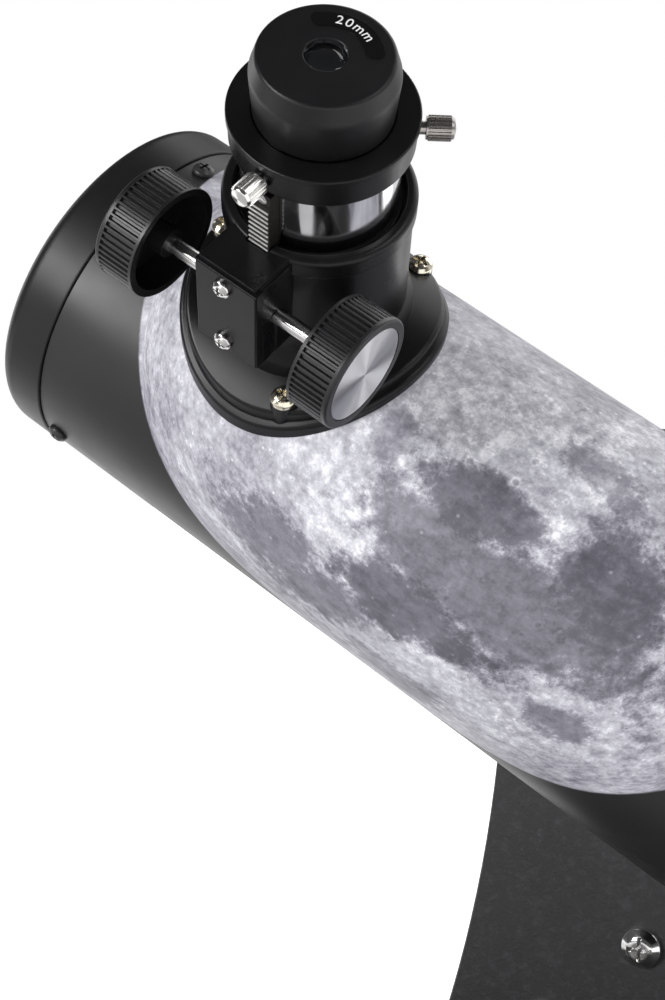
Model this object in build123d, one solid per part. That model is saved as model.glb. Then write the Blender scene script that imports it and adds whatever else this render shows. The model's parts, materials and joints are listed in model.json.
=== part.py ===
"""Tabletop Dobsonian telescope: a 76 mm f/4 Newtonian on a single-arm rocker base.

Row frame: millimetres, +Z up, the floor at Z = 0.  The tube points up towards -X, the side arm
stands on the +Y side and the focuser leans towards -Y.

The tube and everything on it are drawn in the tube frame: +X runs back along the tube's axis, +Z
runs out along the focuser's axis, and the origin is where those two axes cross.
"""

from build123d import *
import math
import os

# ---- Driving dimensions: pose and base -----------------------------------------------------
AZIMUTH_X = 22.93          # azimuth axis, behind the middle of the telescope's length
PIVOT_Z = 200.0            # altitude axis above the floor
ALTITUDE = 31.1            # the tube's tilt at rest, degrees above level
FOCUSER_ROLL = 45.0        # the focuser's lean from upright, away from the arm, degrees
FOCUSER_TO_PIVOT = 95.0    # from the focuser's axis back to the altitude axis, along the tube

FOOT_R = 13.0
FOOT_H = 10.0
FOOT_PITCH_R = 88.0
GROUND_R = 110.0
TURNTABLE_R = 105.0
BOARD_T = 15.0
PAD_H = 3.0
AZIMUTH_BOLT_R = 4.0

ARM_INNER_Y = 62.0         # the arm's inner face, from the tube's axis
ARM_TOP_R = 44.75
ARM_HEAD_DROP = 4.0        # the round head's centre, below the altitude axis
ARM_FLARE_R = 450.0        # radius of the concave front and back edges
ARM_FLARE_DROP = 19.0      # the edges start to flare this far below the altitude axis

CLAMP_KNOB_R = 21.3
CLAMP_KNOB_T = 19.0
CLAMP_CROWN_R = 34.0
CLAMP_INSERT_R = 6.5
CLAMP_INSERT_T = 12.0

# ---- Driving dimensions: tube and optics ---------------------------------------------------
TUBE_R = 48.0
TUBE_WALL = 1.0
TUBE_FRONT_X = -56.5
TUBE_REAR_X = 196.0
RING_FRONT_X = -72.0
CELL_REAR_X = 208.0
TRIM_R = 48.6              # outer radius of the front ring and the rear cell
SPIGOT_R = TUBE_R - TUBE_WALL - 0.1
RING_OPENING_R = 41.0
RING_SCREW_ANGLES = (20.0, 140.0, 260.0)
RING_SCREW_X = -52.0
CELL_SCREW_X = 188.5

MIRROR_R = 38.0
MIRROR_T = 10.0
MIRROR_FOCAL_LENGTH = 300.0
MIRROR_RIM_X = 186.0
FLAT_R = 12.5              # half the secondary's short axis
FLAT_T = 4.0

# ---- Driving dimensions: focuser -----------------------------------------------------------
FLANGE_R = 34.5
FLANGE_T = 6.0
FLANGE_STEP = 1.6
FLANGE_ROUNDING = 1.2
BODY_R = 22.8
LIP_R = 23.1
BODY_TOP_Z = 92.6
BODY_BORE_R = 19.4
BLOCK_HALF_W = 9.1         # pinion block, half its width along the tube
BLOCK_FACE_Y = -34.0       # outer face of the pinion cover
BLOCK_BOTTOM_Z = 64.0
BLOCK_TOP_Z = 92.2
COVER_T = 2.5
COVER_SCREW_X = -0.8
FLANGE_SCREWS = ((-30.0, 0.0, 54.0), (12.4, -27.4, 47.0), (12.9, 27.4, 47.0))
FLANGE_BOSS_R = 3.3

GEAR_MODULE = 0.5
PINION_TEETH = 16
PINION_PITCH_R = GEAR_MODULE * PINION_TEETH / 2
TOOTH_PITCH = math.pi * GEAR_MODULE
TOOTH_BACKLASH = 0.14
RACK_ADDENDUM = 0.9        # in modules, short of the full height so that no flank is undercut
RACK_PITCH_Y = -22.0
SHAFT_Y = RACK_PITCH_Y - PINION_PITCH_R
SHAFT_Z = 77.0
SHAFT_R = 2.0
RACK_HALF_W = 2.8
RACK_SLOT_HALF_W = RACK_HALF_W + 0.5
RACK_SLOT_Y = -23.2
RACK_SCREW_HEAD_R = 1.5

KNOB_R = 14.7
KNOB_INNER_X = 23.7
KNOB_OUTER_X = 35.0
KNOB_RIBS = 56
KNOB_RIB_DEPTH = 0.75

DRAWTUBE_R = 18.6
DRAWTUBE_BORE_R = 16.6
DRAWTUBE_BOTTOM_Z = 50.0
HOLDER_BOTTOM_Z = 110.0
HOLDER_TOP_Z = 118.4
HOLDER_R = 21.65
EYEPIECE_BARREL_R = 15.875  # the 1.25 inch eyepiece standard
EYEPIECE_BORE_R = 14.4
EYEPIECE_TOP_Z = 134.4
EYE_HOLE_R = 4.8
EYE_LENS_R = 5.6
EYE_LENS_Z = EYEPIECE_TOP_Z - 1.6
THUMBSCREW_Z = 113.2
THUMBSCREW_R = 2.9
THUMBSCREWS = {             # node: its direction about the focuser's axis, where its head starts
    "eyepiece_thumbscrew_side": (38.1, 22.9),
    "eyepiece_thumbscrew_knob_side": (269.6, 22.1),
}

FIT = 0.05                 # radial clearance of running and screw fits

# ---- Derived places ------------------------------------------------------------------------
GROUND_Z = FOOT_H
PAD_Z = GROUND_Z + BOARD_T
TURNTABLE_Z = PAD_Z + PAD_H
DECK_Z = TURNTABLE_Z + BOARD_T
ARM_OUTER_Y = ARM_INNER_Y + BOARD_T
CLAMP_BACK_Y = ARM_OUTER_Y + 1.7
TUBE_INNER_R = TUBE_R - TUBE_WALL
HUB_ROLL = FOCUSER_ROLL + 90.0


def row_of_tube_frame():
    """The tube frame's place in the row frame at rest."""
    tilt = math.radians(ALTITUDE)
    roll = math.radians(FOCUSER_ROLL)
    origin = (
        AZIMUTH_X - FOCUSER_TO_PIVOT * math.cos(tilt),
        0,
        PIVOT_Z + FOCUSER_TO_PIVOT * math.sin(tilt),
    )
    rearward = (math.cos(tilt), 0, -math.sin(tilt))
    outward = (
        math.cos(roll) * math.sin(tilt),
        -math.sin(roll),
        math.cos(roll) * math.cos(tilt),
    )
    return Plane(origin=origin, x_dir=rearward, z_dir=outward).location


TUBE_FRAME = row_of_tube_frame()
BASE_FRAME = Location((AZIMUTH_X, 0, 0))


# ---- Shape helpers -------------------------------------------------------------------------
def rod(radius, low, high, x=0.0, y=0.0):
    """A cylinder along Z between two heights."""
    return Pos(x, y, (low + high) / 2) * Cylinder(radius, high - low)


def sleeve(outer, inner, low, high, x=0.0, y=0.0):
    """A round tube along Z between two heights."""
    return rod(outer, low, high, x, y) - rod(inner, low - 1, high + 1, x, y)


def rod_x(radius, low, high, y=0.0, z=0.0):
    """A cylinder along X between two stations."""
    return Pos((low + high) / 2, y, z) * Rot(0, 90, 0) * Cylinder(radius, high - low)


def bar(x_span, y_span, z_span):
    """A box given by its spans along X, Y and Z."""
    sizes = [span[1] - span[0] for span in (x_span, y_span, z_span)]
    middle = [(span[1] + span[0]) / 2 for span in (x_span, y_span, z_span)]
    return Pos(*middle) * Box(*sizes)


def lathe(points, rounds=None):
    """A solid of revolution about Z from (radius, height) corners with optional corner radii."""
    corners = [(radius, 0, height) for radius, height in points]
    if rounds is None:
        outline = Polyline(*corners, close=True)
    else:
        outline = FilletPolyline(*corners, radius=rounds, close=True)
    return revolve(make_face(outline), Axis.Z)


def along_x(shape):
    """Turn a shape drawn along Z so that its Z runs along +X."""
    return Rot(0, 90, 0) * shape


def at_angle(shape, angle):
    """Turn a shape about the tube's axis; 0 is +Z and +90 is +Y."""
    return Rot(-angle, 0, 0) * shape


def pan_screw(head_r, head_h, shank_r, length, slot=1.0):
    """A cross-recessed domed screw, its head above Z = 0 and its shank below."""
    crown = head_r * 0.55
    head = lathe(
        [(0, 0), (head_r, 0), (head_r, head_h * 0.45), (crown, head_h), (0, head_h)],
        [0, 0, head_h * 0.3, head_h * 0.8, 0],
    )
    arm_long = head_r * 0.62
    arm_wide = head_r * 0.13 * slot
    recess_floor = head_h * 0.35
    for half_x, half_y in ((arm_long, arm_wide), (arm_wide, arm_long)):
        head -= bar((-half_x, half_x), (-half_y, half_y), (recess_floor, head_h + 1))
    return head + rod(shank_r, -length, 0.0)


def hex_nut(across_flats, bore_r, low, high):
    """A hexagonal nut with its axis along Z."""
    corner_r = across_flats / math.sqrt(3)
    prism = Pos(0, 0, low) * extrude(RegularPolygon(corner_r, 6), high - low)
    return prism - rod(bore_r, low - 1, high + 1)


def ribbed_disc(radius, depth, count, low, high):
    """A disc with straight ribs round its rim."""
    points = []
    for index in range(count):
        for offset, reach in ((-0.30, 0.0), (-0.16, depth), (0.16, depth), (0.30, 0.0)):
            angle = math.tau * (index + offset) / count
            reached = radius - depth + reach
            points.append((reached * math.cos(angle), reached * math.sin(angle)))
    return Pos(0, 0, low) * extrude(make_face(Polyline(*points, close=True)), high - low)


def group(shapes):
    """Separate solids kept side by side in one node."""
    return Compound(children=list(shapes))


def save(node, shape, frame):
    """Write one node to its STEP file in the row frame."""
    export_step(frame * shape, f"parts/{node}.step")


# ---- Base ----------------------------------------------------------------------------------
def foot_places():
    angles = [math.radians(angle) for angle in (60, 180, 300)]
    return [(FOOT_PITCH_R * math.cos(angle), FOOT_PITCH_R * math.sin(angle)) for angle in angles]


def disc_board(radius, low):
    board = rod(radius, low, low + BOARD_T)
    return fillet(board.edges(), 1.5)


def ground_board():
    board = disc_board(GROUND_R, GROUND_Z)
    board -= rod(AZIMUTH_BOLT_R + FIT, 0, 60)
    for x, y in foot_places():
        board -= rod(1.75 + FIT, 0, GROUND_Z + 11.1, x, y)
    return board


def rubber_foot():
    """A foot with a recess for its screw head, standing on the floor."""
    outline = [(2.0, 4.0), (5.0, 4.0), (5.0, 0), (FOOT_R - 1.2, 0), (FOOT_R, FOOT_H), (2.0, FOOT_H)]
    return lathe(outline, [0, 0, 0, 1.2, 1.0, 0])


def rubber_feet():
    return group(Pos(x, y, 0) * rubber_foot() for x, y in foot_places())


def foot_screws():
    screw = Rot(180, 0, 0) * pan_screw(4.0, 2.4, 1.75, FOOT_H - 4.0 + 11.0)
    return group(Pos(x, y, 4.0) * screw for x, y in foot_places())


def bearing_pads():
    """Three low-friction blocks that the turntable slides on."""
    pad = bar((-7, 7), (-10, 10), (PAD_Z, TURNTABLE_Z))
    return group(Rot(0, 0, angle) * Pos(78, 0, 0) * pad for angle in (0, 120, 240))


def azimuth_bolt():
    head = Pos(0, 0, GROUND_Z - 6.9) * extrude(RegularPolygon(13.0 / math.sqrt(3), 6), 5.3)
    return head + rod(AZIMUTH_BOLT_R, GROUND_Z - 1.6, DECK_Z + 10.5)


def azimuth_washers():
    under = sleeve(12.0, AZIMUTH_BOLT_R + FIT, GROUND_Z - 1.6, GROUND_Z)
    over = sleeve(11.0, AZIMUTH_BOLT_R + FIT, DECK_Z + 1.5, DECK_Z + 3.1)
    return group([under, over])


def azimuth_nut():
    return hex_nut(13.0, AZIMUTH_BOLT_R, DECK_Z + 3.1, DECK_Z + 9.9)


def azimuth_bushing():
    """A flanged nylon bush pressed into the turntable."""
    bush = rod(7.0, TURNTABLE_Z, DECK_Z) + rod(13.0, DECK_Z, DECK_Z + 1.5)
    return bush - rod(AZIMUTH_BOLT_R + FIT, 0, 80)


def arm_screw_down_places():
    """Screws that come up through the turntable into the arm's foot."""
    return [(x, ARM_INNER_Y + BOARD_T / 2) for x in (-45.0, 0.0, 45.0)]


def turntable_board():
    board = disc_board(TURNTABLE_R, TURNTABLE_Z)
    board -= rod(7.0, 0, 60)
    for x, y in arm_screw_down_places():
        board -= rod(2.5 + FIT, 0, 60, x, y)
        board -= rod(5.0, 0, TURNTABLE_Z + 3.5, x, y)
    for x, y in bracket_screw_places():
        board -= rod(2.0, DECK_Z - 10.1, 60, x, y)
    return board


def arm_base_screws():
    screw = Rot(180, 0, 0) * pan_screw(4.6, 3.0, 2.5, BOARD_T - 3.5 + 35.0)
    return group(Pos(x, y, TURNTABLE_Z + 3.5) * screw for x, y in arm_screw_down_places())


# ---- Side arm ------------------------------------------------------------------------------
def side_arm():
    """An upright board with a round head and concave, flaring edges."""
    head_z = PIVOT_Z - ARM_HEAD_DROP
    straight_z = PIVOT_Z - ARM_FLARE_DROP
    drop = straight_z - DECK_Z
    spread = ARM_FLARE_R - math.sqrt(ARM_FLARE_R**2 - drop**2)
    half_drop = drop / 2
    half_spread = ARM_FLARE_R - math.sqrt(ARM_FLARE_R**2 - half_drop**2)
    foot_x = ARM_TOP_R + spread
    mid_x = ARM_TOP_R + half_spread
    mid_z = straight_z - half_drop
    outline = [
        Line((-foot_x, DECK_Z), (foot_x, DECK_Z)),
        ThreePointArc((foot_x, DECK_Z), (mid_x, mid_z), (ARM_TOP_R, straight_z)),
        Line((ARM_TOP_R, straight_z), (ARM_TOP_R, head_z)),
        ThreePointArc((ARM_TOP_R, head_z), (0, head_z + ARM_TOP_R), (-ARM_TOP_R, head_z)),
        Line((-ARM_TOP_R, head_z), (-ARM_TOP_R, straight_z)),
        ThreePointArc((-ARM_TOP_R, straight_z), (-mid_x, mid_z), (-foot_x, DECK_Z)),
    ]
    face = Plane.XZ * make_face(outline)
    board = Pos(0, ARM_OUTER_Y, 0) * extrude(face, BOARD_T)
    rim = board.edges().filter_by(Plane.XZ).filter_by(lambda edge: edge.center().Z > DECK_Z + 1)
    board = chamfer(rim, 0.6)
    board -= cross_rod(8.0, ARM_INNER_Y - 1, ARM_OUTER_Y + 1, 0, PIVOT_Z)
    for x, z in arm_screw_places():
        board -= cross_rod(3.0 + FIT, ARM_INNER_Y - 1, ARM_OUTER_Y + 1, x, z)
    for x, y in arm_screw_down_places():
        board -= rod(2.5 + FIT, DECK_Z - 1, DECK_Z + 35.1, x, y)
    return board


def cross_rod(radius, low, high, x=0.0, z=0.0):
    """A cylinder along Y between two stations."""
    return Pos(x, (low + high) / 2, z) * Rot(90, 0, 0) * Cylinder(radius, high - low)


def arm_screw_places():
    """One bracket screw high on the arm's centre line and two low ones beside it."""
    return [(0.0, 85.0), (-31.0, 56.5), (31.0, 56.5)]


def arm_screws():
    screw = Rot(90, 0, 0) * pan_screw(6.2, 4.0, 3.0, 23.0, slot=0.8)
    return group(Pos(x, ARM_INNER_Y, z) * screw for x, z in arm_screw_places())


def arm_nuts():
    nut = Rot(-90, 0, 0) * hex_nut(10.0, 3.0, 0, 5.0)
    return group(Pos(x, ARM_OUTER_Y + 2.5, z) * nut for x, z in arm_screw_places())


def bracket_screw_places():
    return [(x, ARM_OUTER_Y + 13.0) for x in (-16.0, 16.0)]


def arm_bracket():
    """A pressed steel angle that ties the arm to the turntable on the outer side."""
    upright = bar((-40, 40), (ARM_OUTER_Y, ARM_OUTER_Y + 2.5), (DECK_Z, DECK_Z + 54))
    tongue = bar((-40, 40), (ARM_OUTER_Y, ARM_OUTER_Y + 19), (DECK_Z, DECK_Z + 2.5))
    angle = upright + tongue
    top_corners = angle.edges().filter_by(Axis.Y).group_by(Axis.Z)[-1]
    angle = fillet(top_corners, 12)
    toe_corners = angle.edges().filter_by(Axis.Z).group_by(Axis.Y)[-1]
    angle = fillet(toe_corners, 8)
    for x, z in arm_screw_places():
        angle -= cross_rod(3.0 + FIT, ARM_OUTER_Y - 1, ARM_OUTER_Y + 4, x, z)
    for x, y in bracket_screw_places():
        angle -= rod(2.0 + FIT, DECK_Z - 1, DECK_Z + 4, x, y)
    return angle


def bracket_screws():
    screw = pan_screw(4.0, 2.6, 2.0, 12.4)
    return group(Pos(x, y, DECK_Z + 2.5) * screw for x, y in bracket_screw_places())


def pivot_ring(outer, inner, low, high):
    """A ring round the altitude axis between two Y stations."""
    ring = cross_rod(outer, low, high, 0, PIVOT_Z)
    return ring - cross_rod(inner, low - 1, high + 1, 0, PIVOT_Z)


def altitude_bushing():
    return pivot_ring(8.0, 4.0 + FIT, ARM_INNER_Y, ARM_OUTER_Y)


def friction_washer():
    return pivot_ring(20.0, 8.2, ARM_INNER_Y - 2.0, ARM_INNER_Y)


def altitude_washer():
    return pivot_ring(13.0, 4.0 + FIT, ARM_OUTER_Y, ARM_OUTER_Y + 1.6)


def altitude_knob():
    """A six-lobed clamping knob with a flat back and a crowned face."""
    lobes = 6
    points = []
    for index in range(lobes * 12):
        angle = math.tau * index / (lobes * 12)
        radius = CLAMP_KNOB_R - 1.9 + 1.9 * math.cos(lobes * angle)
        points.append((radius * math.cos(angle), radius * math.sin(angle)))
    grip = extrude(make_face(Spline(*points, periodic=True)), CLAMP_KNOB_T)
    crown = Pos(0, 0, CLAMP_KNOB_T - CLAMP_CROWN_R) * Sphere(CLAMP_CROWN_R)
    knob = (grip & crown) - rod(CLAMP_INSERT_R, -1, CLAMP_INSERT_T)
    return Pos(0, CLAMP_BACK_Y, PIVOT_Z) * Rot(-90, 0, 0) * knob


def knob_insert():
    """The threaded metal bush moulded into the clamping knob."""
    return pivot_ring(CLAMP_INSERT_R, 4.0 + FIT, CLAMP_BACK_Y, CLAMP_BACK_Y + CLAMP_INSERT_T)


# ---- Altitude hub on the tube --------------------------------------------------------------
def on_hub_axis(shape):
    """Place a shape drawn along Z on the altitude axis, its Z running out towards the arm."""
    return Pos(FOCUSER_TO_PIVOT, 0, 0) * at_angle(shape, HUB_ROLL)


def hub_screw_offsets():
    return (-15.0, 15.0)


def tube_hub():
    hub = lathe(
        [(0, 40), (24, 40), (24, 55), (20.5, 59.9), (0, 59.9)],
        [0, 0, 3, 1.2, 0],
    )
    hub = on_hub_axis(hub) - rod_x(TUBE_R + FIT, -100, 300)
    hub -= on_hub_axis(rod(4.0 + FIT, 0, 80))
    for x in hub_screw_offsets():
        hub -= Pos(x, 0, 0) * on_hub_axis(rod(2.0 + FIT, 0, 57))
    return hub


def hub_screws():
    screw = Pos(0, 0, TUBE_INNER_R - 0.4) * Rot(180, 0, 0) * pan_screw(3.8, 2.4, 2.0, 9.8)
    return group(Pos(x, 0, 0) * on_hub_axis(screw) for x in hub_screw_offsets())


def altitude_bolt():
    """A flat-headed bolt through the tube wall, the hub and the arm."""
    head = rod(7.5, 41.9, 46.3)
    flats = bar((-6, 6), (-9, 9), (41.9, 46.3))
    return on_hub_axis((head & flats) + rod(4.0, 46.3, ARM_OUTER_Y + 12.5))


# ---- Tube, ring and optics -----------------------------------------------------------------
def radial_hole(radius, x, angle):
    """A round cut through the wall along a radius of the tube."""
    return Pos(x, 0, 0) * at_angle(rod(radius, 35, 60), angle)


def optical_tube():
    tube = rod_x(TUBE_R, TUBE_FRONT_X, TUBE_REAR_X) - rod_x(TUBE_INNER_R, -100, 300)
    tube -= rod(BODY_BORE_R, 30, 60)
    tube -= bar((-RACK_SLOT_HALF_W, RACK_SLOT_HALF_W), (RACK_SLOT_Y, 0), (30, 60))
    for x, y, _ in FLANGE_SCREWS:
        tube -= rod(1.8, 20, 60, x, y)
    for angle in RING_SCREW_ANGLES:
        tube -= radial_hole(1.5 + FIT, RING_SCREW_X, angle)
        tube -= radial_hole(1.5 + FIT, CELL_SCREW_X, angle + 60)
    tube -= on_hub_axis(rod(4.0 + FIT, 30, 60))
    for x in hub_screw_offsets():
        tube -= Pos(x, 0, 0) * on_hub_axis(rod(2.0 + FIT, 30, 60))
    return tube


def front_ring():
    """A moulded ring with a rounded outer edge and a spigot inside the tube."""
    wide = [
        (RING_OPENING_R, RING_FRONT_X + 1.5),
        (RING_OPENING_R + 2.5, RING_FRONT_X),
        (TRIM_R, RING_FRONT_X),
        (TRIM_R, TUBE_FRONT_X - 0.25),
        (SPIGOT_R, TUBE_FRONT_X - 0.25),
        (SPIGOT_R, -45.5),
        (44.3, -45.5),
        (44.3, TUBE_FRONT_X - 3),
        (RING_OPENING_R, TUBE_FRONT_X - 3),
    ]
    ring = along_x(lathe(wide, [0, 1.5, 4.5, 0.4, 0, 0.5, 0.5, 0, 0]))
    for angle in RING_SCREW_ANGLES:
        ring -= radial_hole(1.5 + FIT, RING_SCREW_X, angle)
    return ring


def radial_screws(x, angles, reach):
    """Screws through the tube's wall, their heads outside it."""
    screw = Pos(0, 0, TUBE_R + 0.1) * pan_screw(2.9, 1.9, 1.5, TUBE_R + 0.1 - reach)
    return group(Pos(x, 0, 0) * at_angle(screw, angle) for angle in angles)


def front_ring_screws():
    return radial_screws(RING_SCREW_X, RING_SCREW_ANGLES, 42.2)


def spider():
    """A hub on three flat vanes whose bent ends lie inside the front ring."""
    body = along_x(rod(9.0, -57, -48.5))
    vane = bar((-56, -48.5), (-0.6, 0.6), (8, 44.0))
    foot = bar((-56, -48.5), (-4, 4), (42.3, 43.5))
    for angle in RING_SCREW_ANGLES:
        body += at_angle(vane + foot, angle)
    body &= rod_x(44.2, -58, -48)
    for angle in RING_SCREW_ANGLES:
        body -= Pos(RING_SCREW_X, 0, 0) * at_angle(rod(1.5 + FIT, 41.4, 46), angle)
    body -= rod_x(2.0 + FIT, -60, -40)
    for place in collimation_places():
        body -= along_x(rod(1.5 + FIT, -60, -40, *place))
    return body


def collimation_places():
    return [
        (6.0 * math.cos(math.radians(angle)), 6.0 * math.sin(math.radians(angle)))
        for angle in (0, 120, 240)
    ]


def flat_slab(front, back):
    """A wide slab parallel to the secondary's face, between two depths behind it."""
    slab = bar((-40, 40), (-40, 40), (-back, -front))
    return Rot(0, 45, 0) * slab


def secondary_mirror():
    return rod_x(FLAT_R, -30, 30) & flat_slab(0, FLAT_T)


def secondary_holder():
    holder = rod_x(FLAT_R - 0.5, -44, 20) & flat_slab(FLAT_T, 60)
    return holder - rod_x(2.0 + FIT, -60, -29.9)


def secondary_bolt():
    """The centre bolt that carries the secondary's holder."""
    return along_x(rod(3.1, -60.5, -57.1) - rod(1.6, -61, -58.6) + rod(2.0, -57.1, -30))


def collimation_screws():
    screw = rod(2.6, -59.6, -57.1) - rod(1.3, -60, -58.2) + rod(1.5, -57.1, -44.1)
    return group(along_x(Pos(x, y, 0) * screw) for x, y in collimation_places())


def rear_cell():
    """The cap that closes the tube and carries the primary mirror."""
    outline = [
        (0, 199),
        (44.3, 199),
        (44.3, 182),
        (SPIGOT_R, 182),
        (SPIGOT_R, TUBE_REAR_X + 0.25),
        (TRIM_R, TUBE_REAR_X + 0.25),
        (TRIM_R, CELL_REAR_X),
        (43.0, CELL_REAR_X),
        (40.0, 203),
        (0, 203),
    ]
    cell = along_x(lathe(outline, [0, 0, 0.5, 0.5, 0, 0.4, 4.0, 1.0, 1.0, 0]))
    for place in clip_places():
        cell += along_x(rod(2.6, MIRROR_RIM_X + 0.1, 199.5, *place))
        cell -= along_x(rod(1.25 + FIT, 180, 197, *place))
    for angle in RING_SCREW_ANGLES:
        cell -= radial_hole(1.5 + FIT, CELL_SCREW_X, angle + 60)
    return cell


def clip_places():
    return [
        (41.3 * math.cos(math.radians(angle)), 41.3 * math.sin(math.radians(angle)))
        for angle in (0, 120, 240)
    ]


def rear_cell_screws():
    return radial_screws(CELL_SCREW_X, [angle + 60 for angle in RING_SCREW_ANGLES], 44.4)


def primary_mirror():
    """A parabolic mirror, drawn with the sphere that touches it at its centre."""
    curve_r = 2 * MIRROR_FOCAL_LENGTH
    sag = curve_r - math.sqrt(curve_r**2 - MIRROR_R**2)
    half_sag = curve_r - math.sqrt(curve_r**2 - (MIRROR_R / 2) ** 2)
    vertex_x = MIRROR_RIM_X + sag
    rim_x = MIRROR_RIM_X
    outline = [
        ThreePointArc((0, 0, vertex_x), (MIRROR_R / 2, 0, vertex_x - half_sag), (MIRROR_R, 0, rim_x)),
        Polyline((MIRROR_R, 0, rim_x), (MIRROR_R, 0, rim_x + MIRROR_T), (0, 0, rim_x + MIRROR_T)),
        Line((0, 0, rim_x + MIRROR_T), (0, 0, vertex_x)),
    ]
    return along_x(revolve(make_face(outline), Axis.Z))


def mirror_pads():
    pad = rod(6.0, MIRROR_RIM_X + MIRROR_T, 199)
    return group(along_x(Rot(0, 0, angle) * Pos(26, 0, 0) * pad) for angle in (60, 180, 300))


def mirror_clips():
    """Small plates on the cell's posts that hold the mirror's rim."""
    clip = bar((36.2, 43.6), (-3.2, 3.2), (MIRROR_RIM_X - 1.1, MIRROR_RIM_X - 0.1))
    clip = fillet(clip.edges().filter_by(Axis.Z), 1.5)
    clip -= rod(1.25 + FIT, 180, 190, 41.3, 0)
    return group(along_x(Rot(0, 0, angle) * clip) for angle in (0, 120, 240))


def mirror_clip_screws():
    screw = Rot(180, 0, 0) * pan_screw(2.2, 1.5, 1.25, 9.0)
    return group(along_x(Pos(x, y, MIRROR_RIM_X - 1.1) * screw) for x, y in clip_places())


# ---- Focuser -------------------------------------------------------------------------------
def saddle_tier(radius, height):
    """One round tier of the flange, its top a constant height above the tube's skin."""
    tier = rod(radius, 20, 70) & rod_x(TUBE_R + height, -50, 50)
    top_edge = tier.edges().sort_by(SortBy.LENGTH)[-1]
    return fillet(top_edge, FLANGE_ROUNDING)


def saddle_flange():
    """A round flange in two tiers that follows the tube's curve."""
    return saddle_tier(FLANGE_R, FLANGE_T / 2) + saddle_tier(FLANGE_R - FLANGE_STEP, FLANGE_T)


def pinion_block():
    """The box that carries the pinion shaft, with a stepped top edge and rounded uprights."""
    half_w = BLOCK_HALF_W
    back_y = -12.0
    face_y = BLOCK_FACE_Y + COVER_T
    step = 0.9
    body = bar((-half_w, half_w), (face_y, back_y), (BLOCK_BOTTOM_Z, BLOCK_TOP_Z - step - 0.1))
    cap = bar(
        (step - half_w, half_w - step),
        (BLOCK_FACE_Y + step, back_y),
        (BLOCK_TOP_Z - step - 0.2, BLOCK_TOP_Z),
    )
    return body + cap


def focuser_housing():
    body = lathe(
        [
            (0, 46),
            (BODY_R + 2.0, 46),
            (BODY_R + 2.0, 53.6),
            (BODY_R, 58),
            (BODY_R - 0.4, 86.6),
            (LIP_R, 87.4),
            (LIP_R, BODY_TOP_Z),
            (0, BODY_TOP_Z),
        ],
        [0, 0, 0.8, 3.0, 0.3, 0.4, 1.6, 0],
    )
    housing = saddle_flange() + body + pinion_block()
    for x, y, seat_z in FLANGE_SCREWS:
        housing += rod(FLANGE_BOSS_R, 40, seat_z, x, y)
    housing -= rod(BODY_BORE_R, 20, 120)
    housing -= lathe([(0, BODY_TOP_Z - 3.3), (20.2, BODY_TOP_Z - 3.3), (21.2, 100), (0, 100)])
    housing -= rod_x(TUBE_R + FIT, -60, 60)
    housing -= bar((-RACK_SLOT_HALF_W, RACK_SLOT_HALF_W), (RACK_SLOT_Y, 0), (30, 120))
    housing -= rod_x(PINION_PITCH_R + 1.1, -5.2, 5.2, SHAFT_Y, SHAFT_Z)
    housing -= bar((-5.2, 5.2), (BLOCK_FACE_Y + COVER_T - 1, SHAFT_Y), (SHAFT_Z - 5.1, SHAFT_Z + 5.1))
    shaft_fit = SHAFT_R + FIT
    housing -= rod_x(shaft_fit, -20, 20, SHAFT_Y, SHAFT_Z)
    housing -= bar(
        (-20, 20), (BLOCK_FACE_Y + COVER_T - 1, SHAFT_Y), (SHAFT_Z - shaft_fit, SHAFT_Z + shaft_fit)
    )
    for x, y, seat_z in FLANGE_SCREWS:
        housing -= rod(3.5, seat_z, 80, x, y) - rod(BODY_R + 2.6, 0, 200)
        housing -= rod(1.8, 20, 80, x, y)
    for z in cover_screw_heights():
        housing -= cross_rod(1.25 + FIT, -35, -24.5, COVER_SCREW_X, z)
    return housing


def cover_screw_heights():
    return (SHAFT_Z - 10.0, SHAFT_Z + 10.0)


def pinion_cover():
    """The plate that closes the pinion block, with tongues that hold the shaft in its grooves."""
    half_w = BLOCK_HALF_W
    top_z = BLOCK_TOP_Z - 1.1
    plate = bar((-half_w, half_w), (BLOCK_FACE_Y, BLOCK_FACE_Y + COVER_T), (BLOCK_BOTTOM_Z, top_z))
    plate = fillet(plate.edges().group_by(Axis.Y)[0], 0.5)
    tongue_half_z = SHAFT_R - 0.1
    for low, high in ((-half_w, -5.4), (5.4, half_w)):
        plate += bar(
            (low, high),
            (BLOCK_FACE_Y + COVER_T, SHAFT_Y),
            (SHAFT_Z - tongue_half_z, SHAFT_Z + tongue_half_z),
        )
    plate -= rod_x(SHAFT_R + FIT, -20, 20, SHAFT_Y, SHAFT_Z)
    for z in cover_screw_heights():
        plate -= cross_rod(1.25 + FIT, BLOCK_FACE_Y - 1, BLOCK_FACE_Y + COVER_T + 1, COVER_SCREW_X, z)
    return plate


def pinion_cover_screws():
    screw = Rot(90, 0, 0) * pan_screw(2.5, 1.7, 1.25, 8.5)
    return group(Pos(COVER_SCREW_X, BLOCK_FACE_Y, z) * screw for z in cover_screw_heights())


def focuser_liner():
    """A thin sleeve that the drawtube glides in, split where the rack runs."""
    liner = sleeve(BODY_BORE_R, DRAWTUBE_R + FIT, 56, 90)
    return liner - bar((-RACK_SLOT_HALF_W, RACK_SLOT_HALF_W), (-30, 0), (50, 100))


def nut_top(y):
    """Where a nut under the tube's wall meets the curve of the wall."""
    return math.sqrt(TUBE_INNER_R**2 - (abs(y) + 3.3) ** 2) - 0.1


def focuser_screws():
    screws = []
    for x, y, seat_z in FLANGE_SCREWS:
        end_z = nut_top(y) - 4.0
        screws.append(Pos(x, y, seat_z) * pan_screw(3.3, 2.7, 1.75, seat_z - end_z))
    return group(screws)


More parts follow.
